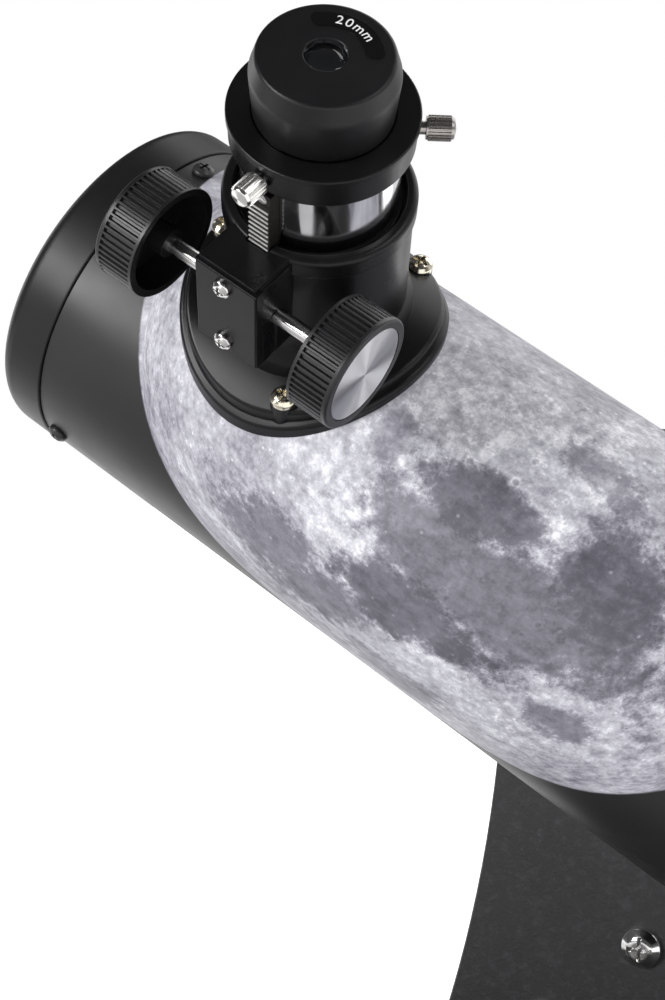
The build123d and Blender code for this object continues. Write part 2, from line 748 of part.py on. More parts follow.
def focuser_nuts():
    nuts = []
    for x, y, seat_z in FLANGE_SCREWS:
        nuts.append(Pos(x, y, 0) * hex_nut(5.5, 1.75, nut_top(y) - 2.4, nut_top(y)))
    return group(nuts)


# ---- Rack and pinion -----------------------------------------------------------------------
def pinion_gear():
    """A gear with involute flanks and a tooth pointing at the rack at rest."""
    base_r = PINION_PITCH_R * math.cos(math.radians(20))
    tip_r = PINION_PITCH_R + GEAR_MODULE
    root_r = PINION_PITCH_R - 1.25 * GEAR_MODULE
    half_tooth = (TOOTH_PITCH / 2 - TOOTH_BACKLASH) / 2 / PINION_PITCH_R

    def involute(radius):
        slope = math.acos(min(1.0, base_r / radius))
        return math.tan(slope) - slope

    flank = []
    flank_points = 4
    start_r = max(base_r, root_r)
    for step in range(flank_points + 1):
        radius = start_r + (tip_r - start_r) * step / flank_points
        angle = half_tooth + involute(PINION_PITCH_R) - involute(radius)
        flank.append((radius, angle))
    points = []
    for tooth in range(PINION_TEETH):
        middle = math.tau * (tooth + 0.25 * PINION_TEETH) / PINION_TEETH
        points.append((root_r, middle - flank[0][1] - 0.01))
        points.extend((radius, middle - angle) for radius, angle in flank)
        points.extend((radius, middle + angle) for radius, angle in reversed(flank))
        points.append((root_r, middle + flank[0][1] + 0.01))
    corners = [(radius * math.sin(angle), radius * math.cos(angle)) for radius, angle in points]
    face = make_face(Polyline(*[(0, SHAFT_Y + y, SHAFT_Z + z) for y, z in corners], close=True))
    teeth = extrude(face, 3.2, dir=(1, 0, 0), both=True)
    hub = rod_x(3.2, -5.0, 5.0, SHAFT_Y, SHAFT_Z)
    return teeth + hub - rod_x(SHAFT_R, -10, 10, SHAFT_Y, SHAFT_Z)


def focus_rack():
    """A straight rack, plain at both ends, with a tooth gap level with the pinion at rest."""
    root_y = RACK_PITCH_Y + 1.25 * GEAR_MODULE
    tip_y = RACK_PITCH_Y - RACK_ADDENDUM * GEAR_MODULE
    half_tooth = (TOOTH_PITCH / 2 - TOOTH_BACKLASH) / 2
    slope = math.tan(math.radians(20))
    root_half = half_tooth + (root_y - RACK_PITCH_Y) * slope
    tip_half = half_tooth - (RACK_PITCH_Y - tip_y) * slope
    low_z = 51.5
    high_z = 109.0
    back_y = -DRAWTUBE_R + 0.4
    points = [(back_y, low_z), (root_y, low_z)]
    for tooth in range(-12, 18):
        middle = SHAFT_Z + (tooth + 0.5) * TOOTH_PITCH
        points.append((root_y, middle - root_half))
        points.append((tip_y, middle - tip_half))
        points.append((tip_y, middle + tip_half))
        points.append((root_y, middle + root_half))
    points.extend([(root_y, high_z), (back_y, high_z)])
    face = make_face(Polyline(*[(0, y, z) for y, z in points], close=True))
    rack = extrude(face, RACK_HALF_W, dir=(1, 0, 0), both=True)
    for z in rack_screw_heights():
        rack -= cross_rod(1.0 + FIT, -25, -10, 0, z)
        rack -= cross_rod(RACK_SCREW_HEAD_R + 0.1, -25, root_y + 1.0, 0, z)
    return rack


def rack_screw_heights():
    return (54.3, 106.9)


def rack_screws():
    """Small flat-headed screws at the rack's plain ends."""
    root_y = RACK_PITCH_Y + 1.25 * GEAR_MODULE
    head = cross_rod(RACK_SCREW_HEAD_R, root_y + 0.1, root_y + 1.0)
    head -= bar((-2.0, 2.0), (root_y - 1, root_y + 0.5), (-0.2, 0.2))
    screw = head + cross_rod(1.0, root_y + 1.0, -DRAWTUBE_BORE_R - 0.4)
    return group(Pos(0, 0, z) * screw for z in rack_screw_heights())


def drawtube():
    tube = sleeve(DRAWTUBE_R, DRAWTUBE_BORE_R, DRAWTUBE_BOTTOM_Z, HOLDER_BOTTOM_Z)
    seat_w = RACK_HALF_W + 0.1
    tube -= bar((-seat_w, seat_w), (-30, -DRAWTUBE_R + 0.4), (51.3, 109.2))
    for z in rack_screw_heights():
        tube -= cross_rod(1.0 + FIT, -25, -10, 0, z)
    return tube


def pinion_shaft():
    shaft = rod_x(SHAFT_R, -KNOB_OUTER_X + 1.4, KNOB_OUTER_X - 1.4, SHAFT_Y, SHAFT_Z)
    return chamfer(shaft.edges(), 0.3)


def focus_knob():
    """A cup-shaped knob along Z, ribbed between two plain rims, open towards the housing."""
    low = KNOB_INNER_X
    high = KNOB_OUTER_X
    root_r = KNOB_R - KNOB_RIB_DEPTH
    knob = ribbed_disc(KNOB_R, KNOB_RIB_DEPTH, KNOB_RIBS, low + 0.7, high - 1.3)
    outline = [(0, high - 3.2), (root_r, high - 3.2), (root_r, high - 1.3)]
    outline += [(KNOB_R, high - 1.3), (KNOB_R, high), (0, high)]
    knob += lathe(outline, [0, 0, 0, 0, 0.6, 0])
    knob += rod(KNOB_R, low, low + 0.8)
    knob -= rod(KNOB_R - 1.9, low - 1, high - 3.0)
    knob += rod(3.8, low, high - 3.0)
    knob -= rod(SHAFT_R, 0, high - 1.4)
    knob -= rod(KNOB_R - 2.25, high - 0.7, high + 1)
    return knob


def on_near_side(shape):
    return Pos(0, SHAFT_Y, SHAFT_Z) * Rot(0, 90, 0) * shape


def on_far_side(shape):
    return Pos(0, SHAFT_Y, SHAFT_Z) * Rot(0, -90, 0) * shape


def knob_disc():
    """The spun aluminium disc in a knob's outer face."""
    high = KNOB_OUTER_X
    return lathe(
        [(0, high - 0.7), (KNOB_R - 2.3, high - 0.7), (KNOB_R - 2.3, high - 0.1), (0, high - 0.1)],
        [0, 0, 0.25, 0],
    )


def knob_discs():
    return group([on_near_side(knob_disc()), on_far_side(knob_disc())])


# ---- Eyepiece holder and eyepiece ----------------------------------------------------------
def eyepiece_holder():
    """A ring in two steps that clamps the eyepiece and plugs into the drawtube."""
    bottom = HOLDER_BOTTOM_Z
    top = HOLDER_TOP_Z
    bore = EYEPIECE_BARREL_R + FIT
    plug = DRAWTUBE_BORE_R - 0.02
    outline = [
        (bore, bottom - 8),
        (plug, bottom - 8),
        (plug, bottom),
        (HOLDER_R - 0.5, bottom),
        (HOLDER_R - 0.3, top - 1.9),
        (HOLDER_R + 0.1, top - 1.7),
        (HOLDER_R + 0.1, top),
        (bore, top),
    ]
    ring = lathe(outline, [0, 0, 0, 0.5, 0, 0, 0.45, 0.4])
    for angle, _ in THUMBSCREWS.values():
        ring -= thumb_axis(along_x(rod(1.5 + FIT, 10, 30)), angle)
    return ring


def thumb_axis(shape, angle):
    """Turn a shape drawn along X to a thumbscrew's radial direction."""
    return Pos(0, 0, THUMBSCREW_Z) * Rot(0, 0, angle) * shape


def thumbscrew(head_start):
    """A knurled thumbscrew along X with a crowned end."""
    radius = THUMBSCREW_R
    grip_end = head_start + 5.6
    head = ribbed_disc(radius, 0.35, 22, head_start + 0.5, grip_end)
    head += rod(radius - 0.3, head_start, head_start + 0.5)
    crown = [(0, grip_end), (radius - 0.2, grip_end), (radius - 0.6, grip_end + 0.8), (0, grip_end + 1.2)]
    head += lathe(crown, [0, 0, 0.5, 0])
    shank = rod(1.5, EYEPIECE_BARREL_R + 0.02, head_start)
    return along_x(head + shank)


def eyepiece_barrel():
    low = 96.0
    barrel = sleeve(EYEPIECE_BARREL_R, EYEPIECE_BORE_R, low, HOLDER_TOP_Z)
    return chamfer(barrel.edges().group_by(Axis.Z)[0], 0.4)


def eyepiece_body():
    """The moulded eyepiece head, hollow below its eye lens."""
    top = EYEPIECE_TOP_Z
    base = HOLDER_TOP_Z
    plug = EYEPIECE_BORE_R - 0.02
    outline = [
        (9.5, 112.0),
        (plug, 112.0),
        (plug, base),
        (15.9, base),
        (16.7, top - 5.0),
        (15.2, top),
        (EYE_HOLE_R, top),
        (EYE_HOLE_R, EYE_LENS_Z),
        (EYE_LENS_R, EYE_LENS_Z),
        (EYE_LENS_R, top - 5.0),
        (9.5, top - 7.5),
    ]
    return lathe(outline, [0, 0, 0, 0.5, 4.0, 1.0, 0.3, 0, 0, 0, 0])


def eye_lens():
    seat = EYE_LENS_Z
    rim = EYE_HOLE_R - 0.1
    dome = 1.2
    thickness = 2.4
    outline = [
        ThreePointArc((0, 0, seat + dome), (rim / 2, 0, seat + dome * 0.74), (rim, 0, seat)),
        Polyline((rim, 0, seat), (EYE_LENS_R, 0, seat), (EYE_LENS_R, 0, seat - thickness)),
        Polyline((EYE_LENS_R, 0, seat - thickness), (0, 0, seat - thickness), (0, 0, seat + dome)),
    ]
    return revolve(make_face(outline), Axis.Z)


def field_lens():
    low = 107.0
    edge = EYEPIECE_BORE_R - 0.02
    outline = [
        ThreePointArc((0, 0, low), (6.0, 0, low + 0.45), (12.0, 0, low + 1.8)),
        Polyline((12.0, 0, low + 1.8), (edge, 0, low + 1.8), (edge, 0, 112.0), (0, 0, 112.0)),
        Line((0, 0, 112.0), (0, 0, low)),
    ]
    return revolve(make_face(outline), Axis.Z)


def eyepiece_label():
    """A thin arc-shaped plate on the eyepiece's top."""
    top = EYEPIECE_TOP_Z
    start = 33.0
    sweep = 113.0
    ring = sleeve(12.5, 8.3, top, top + 0.15)
    sector_points = [(0, 0)]
    for step in range(5):
        angle = math.radians(start + sweep * step / 4)
        sector_points.append((20 * math.cos(angle), 20 * math.sin(angle)))
    sector = Pos(0, 0, top - 1) * extrude(make_face(Polyline(*sector_points, close=True)), 3)
    plate = ring & sector
    return fillet(plate.edges().filter_by(Axis.Z), 1.4)


# ---- The whole telescope -------------------------------------------------------------------
def base_nodes():
    return {
        "ground_board": ground_board(),
        "rubber_feet": rubber_feet(),
        "foot_screws": foot_screws(),
        "bearing_pads": bearing_pads(),
        "azimuth_bolt": azimuth_bolt(),
        "azimuth_washers": azimuth_washers(),
        "azimuth_nut": azimuth_nut(),
        "azimuth_bushing": azimuth_bushing(),
        "turntable_board": turntable_board(),
        "side_arm": side_arm(),
        "arm_base_screws": arm_base_screws(),
        "arm_screws": arm_screws(),
        "arm_nuts": arm_nuts(),
        "arm_bracket": arm_bracket(),
        "bracket_screws": bracket_screws(),
        "altitude_bushing": altitude_bushing(),
        "friction_washer": friction_washer(),
        "altitude_washer": altitude_washer(),
        "altitude_knob": altitude_knob(),
        "knob_insert": knob_insert(),
    }


def tube_nodes():
    return {
        "optical_tube": optical_tube(),
        "tube_hub": tube_hub(),
        "hub_screws": hub_screws(),
        "altitude_bolt": altitude_bolt(),
        "front_ring": front_ring(),
        "front_ring_screws": front_ring_screws(),
        "spider": spider(),
        "secondary_holder": secondary_holder(),
        "secondary_bolt": secondary_bolt(),
        "collimation_screws": collimation_screws(),
        "secondary_mirror": secondary_mirror(),
        "rear_cell": rear_cell(),
        "rear_cell_screws": rear_cell_screws(),
        "mirror_pads": mirror_pads(),
        "primary_mirror": primary_mirror(),
        "mirror_clips": mirror_clips(),
        "mirror_clip_screws": mirror_clip_screws(),
    }


def focuser_nodes():
    nodes = {
        "focuser_housing": focuser_housing(),
        "focuser_liner": focuser_liner(),
        "focuser_screws": focuser_screws(),
        "focuser_nuts": focuser_nuts(),
        "pinion_cover": pinion_cover(),
        "pinion_cover_screws": pinion_cover_screws(),
        "pinion_shaft": pinion_shaft(),
        "pinion_gear": pinion_gear(),
        "focus_knob_near": on_near_side(focus_knob()),
        "focus_knob_far": on_far_side(focus_knob()),
        "knob_discs": knob_discs(),
        "drawtube": drawtube(),
        "focus_rack": focus_rack(),
        "rack_screws": rack_screws(),
        "eyepiece_holder": eyepiece_holder(),
        "eyepiece_barrel": eyepiece_barrel(),
        "eyepiece_body": eyepiece_body(),
        "eyepiece_label": eyepiece_label(),
        "eye_lens": eye_lens(),
        "field_lens": field_lens(),
    }
    for node, (angle, head_start) in THUMBSCREWS.items():
        nodes[node] = thumb_axis(thumbscrew(head_start), angle)
    return nodes


def main():
    os.makedirs("parts", exist_ok=True)
    for node, shape in base_nodes().items():
        save(node, shape, BASE_FRAME)
    for nodes in (tube_nodes(), focuser_nodes()):
        for node, shape in nodes.items():
            save(node, shape, TUBE_FRAME)


main()
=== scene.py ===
"""Looks for the tabletop Dobsonian telescope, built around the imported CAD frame."""

import json
import math

import bpy
from mathutils import Matrix, Vector


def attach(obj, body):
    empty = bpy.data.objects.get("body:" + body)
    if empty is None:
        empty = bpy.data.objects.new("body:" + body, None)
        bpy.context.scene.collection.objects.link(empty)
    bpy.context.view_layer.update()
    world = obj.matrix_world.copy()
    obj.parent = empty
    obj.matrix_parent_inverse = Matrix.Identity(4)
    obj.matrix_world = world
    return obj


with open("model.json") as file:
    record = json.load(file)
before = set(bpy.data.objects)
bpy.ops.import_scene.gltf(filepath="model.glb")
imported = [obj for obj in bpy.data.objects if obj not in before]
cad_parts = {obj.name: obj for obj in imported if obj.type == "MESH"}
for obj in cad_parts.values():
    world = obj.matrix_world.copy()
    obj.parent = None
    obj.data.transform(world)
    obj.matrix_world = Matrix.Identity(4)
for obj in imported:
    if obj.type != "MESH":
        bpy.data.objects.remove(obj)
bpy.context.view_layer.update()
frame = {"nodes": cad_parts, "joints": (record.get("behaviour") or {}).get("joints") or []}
NODES = frame["nodes"]
JOINTS = {joint["name"]: joint for joint in frame["joints"]}

# ---- The tube frame: X back along the tube, Z out along the focuser, origin where they cross ----
MM_PER_M = 1000.0
FOCUSER_TO_PIVOT = 0.095
AXIS_X = Vector(JOINTS["focus_knob_turn"]["axis"]).normalized()
AXIS_Z = Vector(JOINTS["focus_travel"]["axis"]).normalized()
AXIS_Y = AXIS_Z.cross(AXIS_X)
PIVOT = Vector(JOINTS["altitude_tilt"]["pos_m"])
ORIGIN = PIVOT - AXIS_X * FOCUSER_TO_PIVOT
SHAFT_POINT = Vector(JOINTS["focus_knob_turn"]["pos_m"])
WORLD_X = Vector((1, 0, 0))
WORLD_Y = Vector((0, 1, 0))
WORLD_Z = Vector((0, 0, 1))

# Places in the tube frame, in millimetres: the tube's outer face and the middle of its wall, where
# the eyepiece's barrel meets its body and a band of painted shade begins, and where the rack's teeth
# turn from painted shade in their gaps to a painted highlight at their tips.
TUBE_R_MM = 48.0
WALL_MIDDLE_R_MM = 47.5
BARREL_SHOULDER_Z = 117.9
TEETH_LIT_Y = -22.36
TEETH_SHADED_Y = -22.08


# ---- Shader building ---------------------------------------------------------------------------
class Shader:
    """A material under construction: a Principled shader and the nodes that feed it."""

    def __init__(self, name, **constants):
        self.material = bpy.data.materials.new(name)
        self.material.use_nodes = True
        self.tree = self.material.node_tree
        self.bsdf = self.tree.nodes["Principled BSDF"]
        for key, value in constants.items():
            self.bsdf.inputs[key.replace("_", " ")].default_value = value
        self.place = None

    def node(self, kind, inputs=None, **settings):
        made = self.tree.nodes.new("ShaderNode" + kind)
        for key, value in settings.items():
            setattr(made, key, value)
        for key, value in (inputs or {}).items():
            self.feed(made.inputs[key], value)
        return made

    def feed(self, socket, value):
        if isinstance(value, bpy.types.NodeSocket):
            self.tree.links.new(value, socket)
        else:
            socket.default_value = value

    def math(self, operation, a, b=0.0, c=0.0, clamp=False):
        made = self.node("Math", {0: a, 1: b, 2: c}, operation=operation, use_clamp=clamp)
        return made.outputs[0]

    def vector(self, operation, a, b=(0, 0, 0), out="Vector"):
        return self.node("VectorMath", {0: a, 1: b}, operation=operation).outputs[out]

    def dot(self, a, b):
        return self.vector("DOT_PRODUCT", a, b, "Value")

    def length(self, a, b):
        """The length of a vector with two components at right angles."""
        squares = self.math("ADD", self.math("MULTIPLY", a, a), self.math("MULTIPLY", b, b))
        return self.math("SQRT", squares)

    def layered(self, base, layers):
        """A base value with textures added, each swinging evenly about nothing."""
        total = base
        for texture, swing in layers:
            total = self.math("ADD", total, self.math("MULTIPLY_ADD", texture, swing, -swing / 2))
        return total

    def here(self):
        """The point in the row frame at rest, in millimetres."""
        if self.place is None:
            spot = self.node("TexCoord").outputs["Object"]
            scaled = self.node("VectorMath", {0: spot, "Scale": MM_PER_M}, operation="SCALE")
            self.place = scaled.outputs["Vector"]
        return self.place

    def away_from(self, centre):
        """The way in millimetres from a centre to the point."""
        return self.vector("SUBTRACT", self.here(), tuple(Vector(centre) * MM_PER_M))

    def coordinates(self, centre, *axes):
        """The point's coordinates in millimetres from a centre along each given axis."""
        away = self.away_from(centre)
        return [self.dot(away, tuple(axis)) for axis in axes]

    def combine(self, x=0.0, y=0.0, z=0.0):
        return self.node("CombineXYZ", {0: x, 1: y, 2: z}).outputs[0]

    def noise(self, size, detail=3.0, rough=0.5, vector=None):
        """Noise with features about size millimetres across."""
        inputs = {
            "Vector": self.here() if vector is None else vector,
            "Scale": 1.0 / size,
            "Detail": detail,
            "Roughness": rough,
        }
        return self.node("TexNoise", inputs).outputs["Fac"]

    def cells(self, size, vector=None, feature="F1", out="Distance"):
        """Cells about size millimetres across: the distance to each one's heart, or its colour."""
        inputs = {
            "Vector": self.here() if vector is None else vector,
            "Scale": 1.0 / size,
        }
        return self.node("TexVoronoi", inputs, feature=feature).outputs[out]

    def remap(self, value, low, high, to_low=0.0, to_high=1.0, smooth=False):
        """The value moved from one range to another and held inside it."""
        kind = "SMOOTHSTEP" if smooth else "LINEAR"
        inputs = {0: value, 1: low, 2: high, 3: to_low, 4: to_high}
        return self.node("MapRange", inputs, interpolation_type=kind, clamp=True).outputs[0]

    def blend(self, amount, a, b):
        """A mix of two colours, from the first at 0 to the second at 1."""
        made = self.node("Mix", data_type="RGBA")
        self.feed(made.inputs[0], amount)
        self.feed(made.inputs[6], a)
        self.feed(made.inputs[7], b)
        return made.outputs[2]

    def blend_numbers(self, amount, a, b):
        return self.node("Mix", {0: amount, 2: a, 3: b}, data_type="FLOAT").outputs[0]

    def ramp(self, value, stops):
        made = self.node("ValToRGB", {0: value})
        band = made.color_ramp
        while len(band.elements) < len(stops):
            band.elements.new(0.5)
        for element, (place, colour) in zip(band.elements, stops):
            element.position = place
            element.color = (*colour, 1.0)
        return made.outputs[0]

    def rounded(self, radius_mm):
        """A normal that rounds sharp edges a little."""
        bevel = self.node("Bevel", {"Radius": radius_mm / MM_PER_M}, samples=4)
        return bevel.outputs[0]

    def bump(self, height, depth_mm, under=None):
        inputs = {"Height": height, "Distance": depth_mm / MM_PER_M, "Strength": 1.0}
        if under is not None:
            inputs["Normal"] = under
        return self.node("Bump", inputs).outputs[0]

    def set(self, **links):
        """Feed the Principled shader's sockets, with _ for each space in a socket's name."""
        for key, value in links.items():
            self.feed(self.bsdf.inputs[key.replace("_", " ")], value)
        return self


def rgb(r, g, b):
    return (r, g, b, 1.0)


def scaled(colour, factor, lift=0.0):
    """A colour made lighter or darker."""
    return rgb(*(channel * factor + lift for channel in colour))


# ---- Materials ---------------------------------------------------------------------------------
NEAR_BLACK = rgb(0.012, 0.012, 0.012)


def moulded_plastic(name, shade, rough, depth=0.012, edge=0.25, coat=0.0, shine=0.27):
    """Moulded plastic with a fine grain, uneven sheen, faint scuffs and softened edges."""
    s = Shader(name, IOR=1.5, Specular_IOR_Level=shine, Coat_Weight=coat, Coat_Roughness=0.18)
    cloud = s.noise(26.0, 4.0, 0.6)
    fine = s.noise(0.35, 2.0, 0.6)
    scuff = s.remap(s.noise(2.2, 6.0, 0.7), 0.60, 0.80)
    scuffed = s.math("MULTIPLY", scuff, 0.10)
    colour = s.blend(cloud, scaled(shade, 0.8), scaled(shade, 1.4, 0.001))
    colour = s.blend(scuffed, colour, rgb(0.06, 0.06, 0.063))
    gloss = s.math("ADD", s.remap(cloud, 0.3, 0.7, rough - 0.05, rough + 0.06), scuffed)
    normal = s.bump(fine, depth, s.rounded(edge))
    s.set(Base_Color=colour, Roughness=gloss, Normal=normal)
    return s.material


def rubber(name):
    """Dusty black rubber."""
    s = Shader(name, IOR=1.45)
    cloud = s.noise(9.0, 5.0, 0.65)
    fine = s.noise(0.5, 3.0, 0.7)
    colour = s.blend(cloud, rgb(0.018, 0.018, 0.018), rgb(0.055, 0.053, 0.050))
    s.set(
        Base_Color=colour,
        Roughness=s.remap(cloud, 0.3, 0.7, 0.72, 0.92),
        Normal=s.bump(fine, 0.05, s.rounded(0.4)),
    )
    return s.material


def polished_metal(name, tint, rough, edge=0.15, marks=0.5, gap_shade_above=None):
    """Bright plated metal with hairline marks and an uneven polish.

    Above a given height in the tube frame, if one is given, it is painted near black, as painted shade
    for the gap where another part sits on it.
    """
    s = Shader(name, Metallic=1.0)
    cloud = s.noise(7.0, 4.0, 0.6)
    stretched = s.node("Mapping", {"Vector": s.here(), "Scale": (0.15, 1.0, 3.5)}).outputs[0]
    hair = s.noise(0.12, 2.0, 0.5, stretched)
    smudge = s.remap(s.noise(4.0, 6.0, 0.7), 0.52, 0.75)
    colour = s.blend(smudge, rgb(*tint), scaled(tint, 0.88))
    if gap_shade_above is not None:
        # Painted shade: near black above the given height.
        (height,) = s.coordinates(ORIGIN, AXIS_Z)
        colour = s.blend(s.remap(height, gap_shade_above, gap_shade_above + 0.2), colour, NEAR_BLACK)
    gloss = s.math("ADD", s.remap(cloud, 0.3, 0.7, rough, rough * 1.8), s.math("MULTIPLY", smudge, 0.05))
    normal = s.bump(hair, 0.0006 * marks, s.rounded(edge))
    s.set(Base_Color=colour, Roughness=gloss, Normal=normal)
    return s.material


def turned_metal(name, tint, rough, centre, axis, groove=0.05, facing=False, sweep=0.85):
    """Turned metal: fine grooves that run round an axis, on a face or along a shaft."""
    s = Shader(name, Metallic=1.0, Anisotropic=sweep, Anisotropic_Rotation=0.25)
    axis = Vector(axis).normalized()
    side = axis.orthogonal().normalized()
    other = axis.cross(side)
    along, x, y = s.coordinates(centre, axis, side, other)
    track = s.length(x, y) if facing else along
    drift = s.math("MULTIPLY", s.noise(8.0, 2.0), 0.3)
    lines = s.noise(groove, 2.0, 0.6, s.combine(s.math("ADD", track, drift)))
    cloud = s.noise(5.0, 4.0, 0.6)
    colour = s.blend(s.math("MULTIPLY", lines, 0.8), rgb(*tint), scaled(tint, 0.82))
    tangent = s.vector("NORMALIZE", s.vector("CROSS_PRODUCT", s.away_from(centre), tuple(axis)))
    gloss = s.math("ADD", s.remap(cloud, 0.3, 0.7, rough, rough + 0.07), s.math("MULTIPLY", lines, 0.06))
    s.set(
        Base_Color=colour,
        Roughness=gloss,
        Tangent=tangent,
        Normal=s.bump(lines, 0.002, s.rounded(0.15)),
    )
    return s.material


def plated_fixing(name, tint, rough):
    """Zinc-plated hardware: mottled, with tool marks and darker stains."""
    s = Shader(name, Metallic=1.0)
    mottle = s.noise(1.1, 5.0, 0.65)
    cloud = s.noise(6.0, 3.0, 0.5)
    stain = s.remap(s.noise(2.6, 5.0, 0.7), 0.55, 0.78)
    colour = s.blend(mottle, rgb(*tint), rgb(tint[0] * 0.78, tint[1] * 0.79, tint[2] * 0.82))
    colour = s.blend(s.math("MULTIPLY", stain, 0.4), colour, rgb(0.42, 0.40, 0.36))
    s.set(
        Base_Color=colour,
        Roughness=s.remap(cloud, 0.25, 0.75, rough, rough + 0.16),
        Normal=s.bump(mottle, 0.006, s.rounded(0.2)),
    )
    return s.material


def toothed_steel(name, lit_mm, shaded_mm):
    """Cut steel teeth, with a painted highlight on their tips and painted shade in the gaps below them.

    Both depths are along the tube frame's Y.
    """
    s = Shader(name, Metallic=1.0)
    (depth,) = s.coordinates(ORIGIN, AXIS_Y)
    # This mask is painted light: 0 in the teeth's gaps for painted shade, 1 at their tips for a painted
    # highlight.
    rubbed = s.remap(depth, shaded_mm, lit_mm, smooth=True)
    mottle = s.noise(0.8, 5.0, 0.65)
    steel = s.blend(mottle, rgb(0.93, 0.925, 0.91), rgb(0.74, 0.735, 0.72))
    # Painted shade for the gaps between the teeth.
    gap_shade = s.blend(mottle, rgb(0.020, 0.019, 0.017), rgb(0.060, 0.056, 0.050))
    s.set(
        Base_Color=s.blend(rubbed, gap_shade, steel),
        Roughness=s.remap(rubbed, 0.0, 1.0, 0.60, 0.36),
        Normal=s.bump(mottle, 0.004, s.rounded(0.08)),
    )
    return s.material


def powder_coat(name, shade, rough):
    """Painted steel with a fine orange-peel skin and a few rubbed spots."""
    s = Shader(name, IOR=1.5)
    peel = s.noise(0.7, 3.0, 0.5)
    cloud = s.noise(18.0, 4.0, 0.6)
    rub = s.remap(s.noise(5.0, 7.0, 0.75), 0.66, 0.80)
    colour = s.blend(cloud, rgb(*shade), scaled(shade, 1.6))
    colour = s.blend(s.math("MULTIPLY", rub, 0.35), colour, rgb(0.16, 0.16, 0.165))
    s.set(
        Base_Color=colour,
        Roughness=s.remap(cloud, 0.3, 0.7, rough, rough + 0.12),
        Normal=s.bump(peel, 0.02, s.rounded(0.3)),
    )
    return s.material


def laminate(name, thickness_axis):
    """Laminated board: a leathery dark face and a smoother banded edge."""
    s = Shader(name, IOR=1.5)
    facing = s.math("ABSOLUTE", s.dot(s.node("TexCoord").outputs["Normal"], tuple(thickness_axis)))
    face = s.remap(facing, 0.55, 0.8)
    pebble = s.cells(0.9, feature="SMOOTH_F1")
    fine = s.noise(0.35, 3.0, 0.6)
    cloud = s.noise(30.0, 5.0, 0.6)
    fleck = s.remap(s.noise(3.0, 6.0, 0.75), 0.50, 0.74)
    colour = s.blend(cloud, rgb(0.014, 0.0145, 0.0150), rgb(0.030, 0.0305, 0.032))
    colour = s.blend(s.math("MULTIPLY", fleck, 0.35), colour, rgb(0.090, 0.093, 0.097))
    band = s.blend(cloud, rgb(0.010, 0.010, 0.011), rgb(0.020, 0.020, 0.021))
    colour = s.blend(face, band, colour)
    relief = s.math("ADD", s.math("MULTIPLY", pebble, 0.6), s.math("MULTIPLY", fine, 0.4))
    relief = s.math("MULTIPLY", relief, s.remap(face, 0.0, 1.0, 0.25, 1.0))
    gloss = s.math("ADD", s.remap(cloud, 0.3, 0.7, 0.46, 0.60), s.math("MULTIPLY", face, 0.04))
    s.set(Base_Color=colour, Roughness=gloss, Normal=s.bump(relief, 0.10, s.rounded(0.4)))
    return s.material


def pale_polymer(name, shade, rough):
    """Slippery bearing plastic, faintly yellowed and rubbed."""
    s = Shader(name, IOR=1.45, Subsurface_Weight=0.15)
    s.bsdf.inputs["Subsurface Scale"].default_value = 0.002
    cloud = s.noise(6.0, 5.0, 0.6)
    rub = s.remap(s.noise(1.4, 4.0, 0.7), 0.5, 0.75)
    colour = s.blend(cloud, rgb(*shade), rgb(shade[0] * 0.86, shade[1] * 0.84, shade[2] * 0.76))
    s.set(
        Base_Color=colour,
        Roughness=s.remap(rub, 0.0, 1.0, rough, rough + 0.18),
        Normal=s.bump(rub, 0.01, s.rounded(0.3)),
    )
    return s.material


def mirror_coating(name):
    """A front-coated mirror with a few specks of dust."""
    s = Shader(name, Metallic=1.0)
    dust = s.remap(s.cells(1.6), 0.10, 0.05)
    veil = s.noise(12.0, 4.0, 0.6)
    colour = s.blend(s.math("MULTIPLY", dust, 0.25), rgb(0.93, 0.935, 0.94), rgb(0.62, 0.62, 0.60))
    gloss = s.math("ADD", s.math("MULTIPLY", dust, 0.25), s.remap(veil, 0.3, 0.8, 0.008, 0.03))
    s.set(Base_Color=colour, Roughness=gloss)
    return s.material


def coated_glass(name):
    """Lens glass with a cool coating and a trace of dust."""
    s = Shader(name, IOR=1.52, Transmission_Weight=1.0, Coat_Weight=0.6, Coat_Roughness=0.03)
    dust = s.remap(s.noise(0.7, 4.0, 0.7), 0.55, 0.8)
    colour = s.blend(dust, rgb(0.80, 0.90, 0.95), rgb(0.72, 0.80, 0.84))
    s.set(Base_Color=colour, Roughness=s.remap(dust, 0.0, 1.0, 0.01, 0.06))
    return s.material


